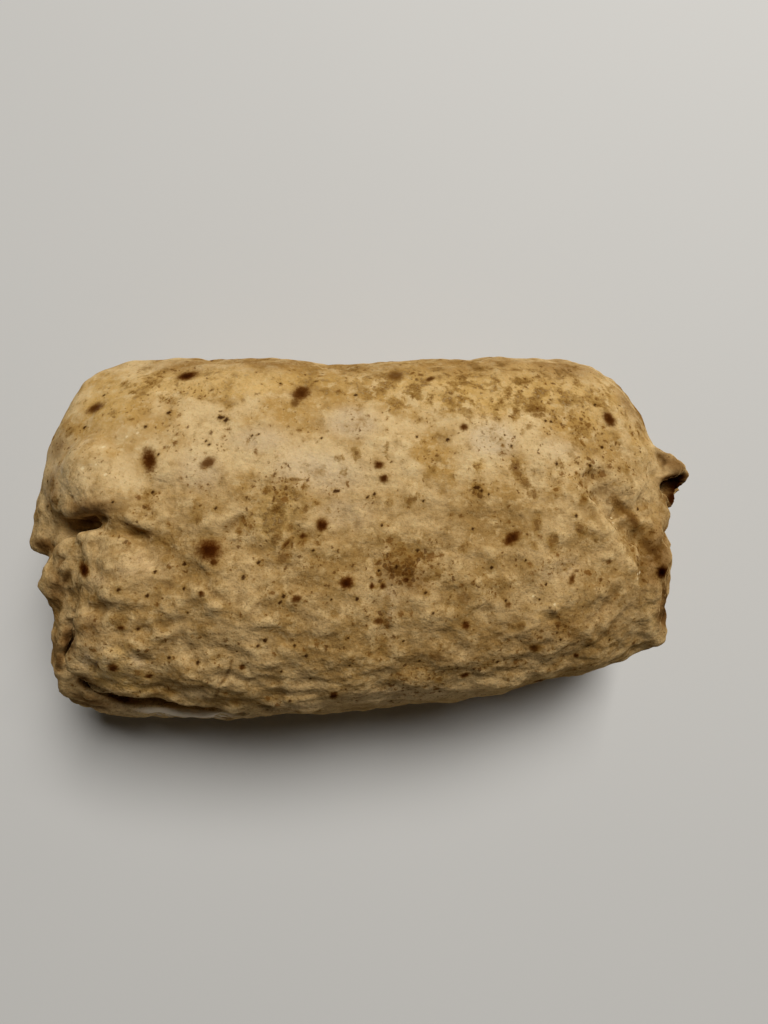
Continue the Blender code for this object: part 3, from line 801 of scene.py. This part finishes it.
def sculpt_crinkles(skin):
    """Lumps of the filling, then the dough's crumpled wrinkles, lower at the right of the front."""
    x, y, _ = skin.points.T
    right_front = faded(x, -34, -6) * faded(-y, -6, 20)
    amount = crinkling(skin) * (CRINKLED_BY - RIGHT_FRONT_FLATTER * right_front)
    skin.raise_by(LUMP_RISE * soft_lumps(skin.points, LUMP_SIZE, 3, 3.1))
    bend = BEND_REACH * soft_lumps(skin.points, BEND_SIZE, 2, 11.7)[:, None]
    wrinkles = WRINKLE_RISE * ridges(skin.points + bend, WRINKLE_SIZE, 3, 7.3)
    puffed = BILLOW_RISE * billows(skin.points - bend, BILLOW_SIZE, 2, 21.9)
    swollen = SWELLING_RISE * soft_lumps(skin.points, SWELLING_SIZE, 2, 41.1)
    skin.raise_by(amount * (wrinkles + puffed + swollen))
    skin.relax(np.ones(len(skin.points)), 1)


def sculpt_folds(skin):
    """The creases and raised folds that show from above."""
    height = np.zeros(len(skin.points))
    places = wandering(skin)
    uneven = np.clip(1 + 1.5 * soft_lumps(skin.points, UNEVEN_SIZE, 2, 5.3), 0.3, 1.8)
    for _, width, depth, line in CREASES:
        distance, passed = line_distance(places, line)
        valley = np.exp(-((distance / width) ** 2))
        shoulder = np.exp(-(((np.abs(distance) - SHOULDER_AT * width) / width) ** 2))
        height += depth * uneven * tapered(passed) * (SHOULDER_RISE * shoulder - valley)
    for column, row, length, width, turn, rise in PUFFS:
        distance = oval_distance(skin.places, column, row, length, width, turn)
        height += rise * np.exp(-(distance ** 2) * PUFF_FALL)
    skin.raise_by(height * skin.shown)


def hollow_fields(skin):
    """How far each point lies below its close and its wider surroundings, in millimetres."""
    skin.keep("groove", skin.hollows(GROOVE_ROUNDS))
    skin.keep("hollow", skin.hollows(HOLLOW_ROUNDS))


def spot_fields(skin):
    """Where the griddle browned the dough: distance from the nearest spot, and how brown that spot is."""
    nearest = np.full(len(skin.points), FAR_AWAY)
    brown = np.zeros(len(skin.points))
    turned_away = TURNED_AWAY * (1 - skin.shown)
    for column, row, length, width, turn, depth in SPOTS:
        distance = oval_distance(skin.places, column, row, length, width, turn) + turned_away
        closer = distance < nearest
        nearest = np.where(closer, distance, nearest)
        brown = np.where(closer, depth, brown)
    draw = np.random.default_rng(UNSEEN_SEED)
    out_of_sight = np.flatnonzero(skin.facing < UNSEEN_FACING)
    for index in draw.choice(out_of_sight, UNSEEN_SPOTS, replace=False):
        radius = draw.uniform(*UNSEEN_RADIUS)
        distance = np.linalg.norm(skin.points - skin.points[index], axis=1) / radius
        closer = distance < nearest
        nearest = np.where(closer, distance, nearest)
        brown = np.where(closer, draw.uniform(*UNSEEN_BROWN), brown)
    skin.keep("spot", nearest)
    skin.keep("brown", brown)


def speck_field(skin, name, specks):
    """Distance from the nearest of these specks, where 1 is its outline. Each sits on a point of the mesh."""
    nearest = np.full(len(skin.points), FAR_AWAY)
    turned_away = TURNED_AWAY_PIXELS * (skin.shown < 0.3)
    for column, row, breadth in specks:
        away = np.hypot(skin.places[:, 0] - column, skin.places[:, 1] - row) + turned_away
        centre = skin.points[np.argmin(away)]
        distance = np.linalg.norm(skin.points - centre, axis=1) / (breadth / 2)
        nearest = np.minimum(nearest, distance)
    skin.keep(name, nearest)


def toasting_fields(skin):
    """Blotches, mottle, freckles, tints, painted shade and light, each as strong as it lies at each point."""
    for name, ovals, background, unseen in FIELDS:
        skin.keep(name, thickest(skin, ovals, background, unseen))
    skin.keep("crinkled", crinkling(skin))


def line_field(skin):
    """Signed distance from the nearest named crease in its widths, and how sharp it is there."""
    nearest = np.full(len(skin.points), np.inf)
    sharpness = np.zeros(len(skin.points))
    places = wandering(skin)
    for _, width, depth, line in CREASES:
        distance, passed = line_distance(places, line)
        scaled = distance / width
        closer = np.abs(scaled) < np.abs(nearest)
        nearest = np.where(closer, scaled, nearest)
        sharpness = np.where(closer, depth / width * tapered(passed), sharpness)
    skin.keep("crease", nearest)
    skin.keep("crease_sharpness", sharpness * skin.shown)


class Value:
    """A number or colour in a material. Python's operators on numbers add Math nodes."""

    def __init__(self, finish, socket):
        self.finish = finish
        self.socket = socket

    def maths(self, operation, *others):
        return self.finish.node("Math", dict(enumerate((self, *others))), operation=operation)

    def __add__(self, other):
        return self.maths("ADD", other)

    def __radd__(self, other):
        return self.maths("ADD", other)

    def __sub__(self, other):
        return self.maths("SUBTRACT", other)

    def __rsub__(self, other):
        return (self * -1) + other

    def __mul__(self, other):
        return self.maths("MULTIPLY", other)

    def __rmul__(self, other):
        return self.maths("MULTIPLY", other)

    def __abs__(self):
        return self.maths("ABSOLUTE")

    def step(self, low, high):
        """0 up to low, 1 from high on, and smooth between them. With low above high it falls instead."""
        if low > high:
            return 1 - self.step(high, low)
        sockets = {"Value": self, "From Min": low, "From Max": high}
        return self.finish.node("MapRange", sockets, interpolation_type="SMOOTHSTEP")


class Finish:
    """One material, and short ways to add its nodes."""

    def __init__(self, name):
        self.material = bpy.data.materials.new(name)
        self.material.use_nodes = True
        self.tree = self.material.node_tree
        self.tree.nodes.clear()

    def node(self, kind, sockets=None, output=0, **settings):
        """Adds a node: its settings first, then its sockets' values and links."""
        made = self.tree.nodes.new("ShaderNode" + kind)
        for name, value in settings.items():
            setattr(made, name, value)
        for name, value in (sockets or {}).items():
            if isinstance(value, Value):
                self.tree.links.new(value.socket, made.inputs[name])
            else:
                made.inputs[name].default_value = value
        return Value(self, made.outputs[output])

    def stored(self, name):
        """A number kept with the mesh's points."""
        return self.node("Attribute", output="Fac", attribute_name=name)

    def mixed(self, share, first, second, blend="MIX"):
        """first where share is 0 and second where it is 1."""
        sockets = {0: share, 6: first, 7: second}
        return self.node("Mix", sockets, output=2, data_type="RGBA", blend_type=blend)

    def grain(self, place, size, detail, roughness=0.55, output="Fac"):
        """Noise about 0.5 whose lumps are about size across, in the units of place."""
        sockets = {"Vector": place, "Scale": 1 / size, "Detail": detail, "Roughness": roughness}
        return self.node("TexNoise", sockets, output=output)

    def vectors(self, operation, *operands):
        return self.node("VectorMath", dict(enumerate(operands)), operation=operation)

    def scaled(self, vector, factor):
        return self.node("VectorMath", {0: vector, "Scale": factor}, operation="SCALE")

    def shader(self, sockets):
        """The surface itself, joined to the material's output."""
        surface = self.node("BsdfPrincipled", sockets)
        made = self.tree.nodes.new("ShaderNodeOutputMaterial")
        self.tree.links.new(surface.socket, made.inputs["Surface"])


def colour(red, green, blue):
    """A colour as seen on a screen, 0 to 255, as the linear light that a shader takes."""

    def linear(value):
        share = value / 255
        return share / 12.92 if share <= 0.04045 else ((share + 0.055) / 1.055) ** 2.4

    return (linear(red), linear(green), linear(blue), 1.0)


PALE_DOUGH = colour(216, 185, 133)
TAN_DOUGH = colour(184, 144, 81)
ASHEN_TONE_AND_PAINTED_LIGHT = colour(214, 190, 152)
GOLDEN_DOUGH = colour(208, 168, 98)
EVEN_DOUGH = colour(200, 163, 104)
PAINTED_LIGHT_UNDER_LAYER = colour(252, 236, 210)
GOLDEN = colour(153, 116, 58)
TOAST = colour(111, 72, 25)
DARK_TOAST = colour(82, 40, 10)
CHAR = colour(42, 15, 1)
FRECKLE = colour(112, 69, 20)
DARK_FRECKLE = colour(80, 40, 5)
BURNT = colour(58, 28, 5)
FLOUR = colour(222, 196, 146)
GLINT_COLOUR = colour(238, 216, 168)
CREASE_SHADE = colour(74, 44, 14)
CRINKLED_SHADE = colour(222, 216, 210)
SOFT_SHADE = colour(182, 166, 146)
DEEP_SHADE = colour(108, 72, 38)
FLOOR_TONES = (colour(206, 205, 202), colour(211, 210, 207))

# Layers of freckles: how far apart, how far the largest reach as a share of that, colour and strength.
FRECKLE_LAYERS = (
    (2.2, 0.62, FRECKLE, 0.75),
    (1.4, 0.62, DARK_FRECKLE, 0.7),
    (0.8, 0.55, FRECKLE, 0.7),
)


class Dough:
    """The tortilla's colour as it is laid on, mark over mark, and the noises that its marks share."""

    def __init__(self, f):
        self.f = f
        self.place = f.scaled(f.node("TexCoord", output="Object"), 1 / MM)

        # Edges of every patch wander by this field.
        wander = f.vectors("SUBTRACT", f.grain(self.place, 1.9, 3.0, output="Color"), (0.5, 0.5, 0.5))
        self.torn = f.vectors("ADD", self.place, f.scaled(wander, 2.4))

        broad = f.grain(self.place, 26, 3.0, 0.5)
        self.middle = f.grain(self.torn, 8.0, 4.0, 0.55)
        self.blots = f.grain(self.torn, 4.4, 3.0, 0.5)
        self.small = f.grain(self.torn, 2.9, 5.0, 0.62)
        self.fine = f.grain(self.place, 0.95, 4.0, 0.65)
        self.dust = f.grain(self.place, 0.36, 2.0, 0.6)
        self.crinkled = f.stored("crinkled")
        self.golden = (f.stored("golden") + self.ragged(small=1.1)).step(0.2, 0.7)
        tan = (0.45 * broad + 0.55 * self.middle).step(0.42, 0.58)
        self.colour = f.mixed(tan, PALE_DOUGH, TAN_DOUGH)

    def lay(self, share, tone, blend="MIX"):
        """Lays this tone over the colour so far, fully where share is 1."""
        self.colour = self.f.mixed(share, self.colour, tone, blend)

    def ragged(self, **shares):
        """Noise about 0 that makes an edge ragged: so much of each grain that is named."""
        return sum((getattr(self, grain) - 0.5) * share for grain, share in shares.items())


def lay_tints(f, dough):
    """Ashen and golden patches, painted light, painted shade where crinkled and in dips, painted ridge
    highlights.
    """
    # Painted shade: darker where the dough is crinkled, most along the front.
    dough.lay(dough.crinkled.step(0.25, 0.7) * 0.8, CRINKLED_SHADE, "MULTIPLY")
    # Ashen patches, and painted light on the shaded dough along the near rim.
    ashen_and_painted_light = (f.stored("ashen_and_painted_light") + dough.ragged(middle=0.8)).step(0.1, 0.7)
    dough.lay(ashen_and_painted_light * 0.7, ASHEN_TONE_AND_PAINTED_LIGHT)
    dough.lay(dough.golden * 0.64, GOLDEN_DOUGH)
    # Painted highlights on ridges, and painted shade in hollows and grooves.
    hollow = f.stored("hollow")
    dough.lay(hollow.step(-0.05, -0.5) * 0.35, PALE_DOUGH)
    dough.lay((hollow + dough.ragged(small=0.6)).step(0.05, 0.55) * 0.4, GOLDEN)
    groove = f.stored("groove") + dough.ragged(fine=0.06)
    dough.lay(groove.step(0.03, 0.12) * 0.3, TOAST)
    dough.lay(groove.step(-0.02, -0.09) * 0.4, FLOUR)


def lay_mottle(f, dough):
    """Golden and brown mottle, as thick as the griddle left it, and rubbed skin and flour between."""
    toasted = f.stored("toasted")
    mottle = dough.blots * 0.4 + dough.small * 0.4 + dough.fine * 0.2 + toasted * 0.085
    dough.lay(mottle.step(0.535, 0.625) * (toasted * 0.5 + 0.34), GOLDEN)
    darker = dough.blots * 0.25 + dough.small * 0.35 + dough.fine * 0.4 + toasted * 0.07
    dough.lay(darker.step(0.59, 0.635) * (toasted * 0.35 + 0.36), TOAST)
    dough.lay(dough.small.step(0.46, 0.36) * (0.42 - dough.golden * 0.2), FLOUR)
    rubbed = dough.crinkled * 0.44
    dough.lay(dough.fine.step(0.48, 0.34) * rubbed, TOAST)
    dough.lay(dough.dust.step(0.50, 0.26) * rubbed, TOAST)
    dough.lay(dough.fine.step(0.53, 0.66) * 0.3, FLOUR)

    # Crinkled dough is nearly of one hue, except in the most golden patches.
    even = dough.crinkled.step(0.25, 0.7) * f.stored("golden").step(1.2, 0.7)
    dough.lay(even * 0.4, EVEN_DOUGH, "COLOR")


def lay_blotches(f, dough):
    """Soft golden patches, each browner in flecks towards its middle."""
    blotch = f.stored("blotch")
    dough.lay((blotch + dough.ragged(small=1.6, fine=1.2)).step(0.22, 0.5) * 0.62, GOLDEN)
    flecked = blotch + dough.ragged(small=1.0, fine=1.7, dust=0.8)
    dough.lay(flecked.step(0.5, 0.8) * 0.66, TOAST)
    dough.lay(flecked.step(0.98, 1.26) * 0.85, DARK_TOAST)


def lay_freckles(f, dough):
    """Freckles in drifts, each in a golden ring."""
    crowd = f.grain(dough.place, 8.0, 3.0, 0.6) * 1.3 - 0.30 + f.stored("freckled") * 0.6
    for spread, largest, tone, strength in FRECKLE_LAYERS:
        cells = {"Vector": dough.torn, "Scale": 1 / spread, "Randomness": 1.0}
        away = f.node("TexVoronoi", cells, output="Distance")
        lots = f.node("TexVoronoi", cells, output="Color")
        lot = f.node("SeparateColor", {"Color": lots}, output="Red")
        reach = (lot + crowd - 1) * largest
        edge = away - reach + dough.ragged(dust=0.4)
        dough.lay(edge.step(0.28, 0.0) * 0.35, GOLDEN)
        dough.lay(edge.step(0.08, -0.12) * strength, tone)


def lay_spots(f, dough):
    """Spots with a golden halo, a toasted body, a dark heart and a charred middle. Gives back the body."""
    brown = f.stored("brown")
    spot = f.stored("spot") + dough.ragged(small=0.9, fine=0.9, dust=0.3)
    body = spot.step(1.5, 0.55) * brown.step(0.1, 0.8)
    dough.lay(spot.step(1.9, 0.9) * brown * 0.6, GOLDEN)
    dough.lay(body * 0.95, TOAST)
    dough.lay(spot.step(1.3, 0.35) * brown.step(0.4, 0.95), DARK_TOAST)
    dough.lay(spot.step(1.0, 0.05) * brown.step(0.5, 0.98) * 0.9, CHAR)
    return body


def lay_specks(f, dough):
    """Burnt specks, each in a golden ring."""
    speck = f.stored("speck") + dough.ragged(fine=1.6, dust=1.4)
    dough.lay(speck.step(2.8, 1.0) * 0.55, GOLDEN)
    dough.lay(speck.step(1.6, 0.4) * 0.95, BURNT)


def lay_folds(f, dough):
    """Painted shade in creases and folds, painted light on the smooth layer under the free edge, and painted
    glints.
    """
    # Painted shade along the named creases and cracks.
    crease = abs(f.stored("crease")) + dough.ragged(fine=0.6)
    line = crease.step(1.0, 0.1) * f.stored("crease_sharpness").step(0.1, 1.4)
    dough.lay(line * 0.9, CREASE_SHADE)
    # Painted shade in the folds and round the rim, laid soft and then deep.
    painted_shade = f.stored("painted_shade") + dough.ragged(middle=0.3)
    dough.lay(painted_shade.step(0.0, 0.6), SOFT_SHADE, "MULTIPLY")
    dough.lay(painted_shade.step(0.35, 1.1), DEEP_SHADE, "MULTIPLY")
    # Painted light: the shaded layer under the free edge is made nearly white.
    dough.lay(f.stored("ashen_and_painted_light").step(1.0, 1.5) * 0.95, PAINTED_LIGHT_UNDER_LAYER)
    # Painted glints and highlights on the hood and the edges of folds.
    glint = f.stored("painted_glint") + dough.ragged(fine=1.2, dust=1.2)
    dough.lay(glint.step(1.5, 0.5) * 0.7, GLINT_COLOUR)


def fine_relief(f, dough):
    """Wrinkles that run along the wrap, dimples and pores, as a bump."""
    drawn_out = f.vectors("MULTIPLY", dough.place, (0.85, 1.0, 1.0))
    wrinkles = f.grain(drawn_out, 2.6, 3.0, 0.5)
    dimples = f.grain(drawn_out, 1.3, 2.0, 0.5)
    pores = f.grain(dough.place, 0.8, 2.0, 0.5)
    depth = dough.crinkled.step(0.1, 0.4) * 0.3 + 0.14
    bumps = (wrinkles * 1.3 + dimples * 0.3 + pores * 0.08) * depth + dough.dust * 0.012
    return f.node("Bump", {"Height": bumps, "Strength": 0.9, "Distance": 1.1 * MM})


def tortilla():
    """Toasted flour tortilla: tan dough with its marks, and a faint sheen where it is moist."""
    f = Finish("tortilla")
    dough = Dough(f)
    lay_tints(f, dough)
    lay_mottle(f, dough)
    lay_blotches(f, dough)
    lay_freckles(f, dough)
    spots = lay_spots(f, dough)
    lay_specks(f, dough)
    lay_folds(f, dough)
    moist = f.grain(dough.place, 3.0, 3.0, 0.6).step(0.48, 0.62) * f.stored("moist")
    f.shader(
        {
            "Base Color": dough.colour,
            "Roughness": 0.62 + dough.fine * 0.12 + spots * 0.15,
            "Normal": fine_relief(f, dough),
            "Specular IOR Level": 0.0,
            "Coat Weight": moist,
            "Coat Roughness": 0.24,
            "Subsurface Weight": 0.06,
            "Subsurface Radius": (1.0, 0.55, 0.3),
            "Subsurface Scale": 1.6 * MM,
        }
    )
    return f.material


def wrap(frame):
    """The wrap's visible body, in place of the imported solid."""
    piece = fine_body(frame["nodes"][NODE])
    skin = Skin(piece.data)
    gather_ear(skin)
    draw_out_corner(skin)
    even_out(skin)
    sculpt_crinkles(skin)
    sculpt_folds(skin)
    hollow_fields(skin)
    spot_fields(skin)
    speck_field(skin, "speck", SPECKS)
    speck_field(skin, "painted_glint", PAINTED_GLINTS)
    toasting_fields(skin)
    line_field(skin)
    piece.data.materials.clear()
    piece.data.materials.append(tortilla())
    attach(piece, "root")
    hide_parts(NODE)


def floor():
    """A plain pale floor."""
    shape = bmesh.new()
    bmesh.ops.create_grid(shape, x_segments=1, y_segments=1, size=FLOOR_REACH)
    mesh = bpy.data.meshes.new("floor")
    shape.to_mesh(mesh)
    shape.free()
    plane = bpy.data.objects.new("floor", mesh)
    bpy.context.scene.collection.objects.link(plane)
    f = Finish("pale_floor")
    metres = f.node("TexCoord", output="Object")
    tone = f.mixed(f.grain(metres, 0.25, 2.0), *FLOOR_TONES)
    f.shader({"Base Color": tone, "Roughness": 0.9, "Specular IOR Level": 0.2})
    plane.data.materials.append(f.material)


def lights():
    """A broad soft window behind and above, and a dim room."""
    window = bpy.data.lights.new("window", "AREA")
    window.shape = "SQUARE"
    window.size = WINDOW_SIZE
    window.energy = WINDOW_POWER
    window.color = WINDOW_TINT
    holder = bpy.data.objects.new("window", window)
    bpy.context.scene.collection.objects.link(holder)
    holder.location = WINDOW_AT
    holder.rotation_euler = (Vector(WINDOW_AIM) - Vector(WINDOW_AT)).to_track_quat("-Z", "Y").to_euler()
    world = bpy.data.worlds.new("room")
    world.use_nodes = True
    background = world.node_tree.nodes["Background"]
    background.inputs["Color"].default_value = ROOM_TINT
    background.inputs["Strength"].default_value = ROOM_STRENGTH
    bpy.context.scene.world = world
    bpy.context.scene.view_settings.view_transform = "Standard"


def camera():
    """The camera that saw the wrap, at the picture's angle."""
    eye = bpy.data.cameras.new("camera")
    eye.sensor_fit = "VERTICAL"
    eye.sensor_height = SENSOR_HEIGHT
    eye.lens = FOCAL_PIXELS / FRAME[1] * SENSOR_HEIGHT
    eye.clip_start = NEAREST_SEEN
    holder = bpy.data.objects.new("camera", eye)
    bpy.context.scene.collection.objects.link(holder)
    turned = Matrix((CAMERA_RIGHT, CAMERA_UP, CAMERA_BACK)).transposed().to_4x4()
    holder.matrix_world = Matrix.Translation(CAMERA_AT * MM) @ turned
    bpy.context.scene.camera = holder


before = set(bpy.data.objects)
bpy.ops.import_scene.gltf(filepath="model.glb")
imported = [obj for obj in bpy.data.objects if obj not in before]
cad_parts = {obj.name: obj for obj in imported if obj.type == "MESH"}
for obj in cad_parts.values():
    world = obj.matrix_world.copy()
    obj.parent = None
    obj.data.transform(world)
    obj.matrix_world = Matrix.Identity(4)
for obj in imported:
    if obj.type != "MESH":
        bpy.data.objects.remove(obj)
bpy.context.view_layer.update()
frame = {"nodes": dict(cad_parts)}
camera()
lights()
floor()
wrap(frame)
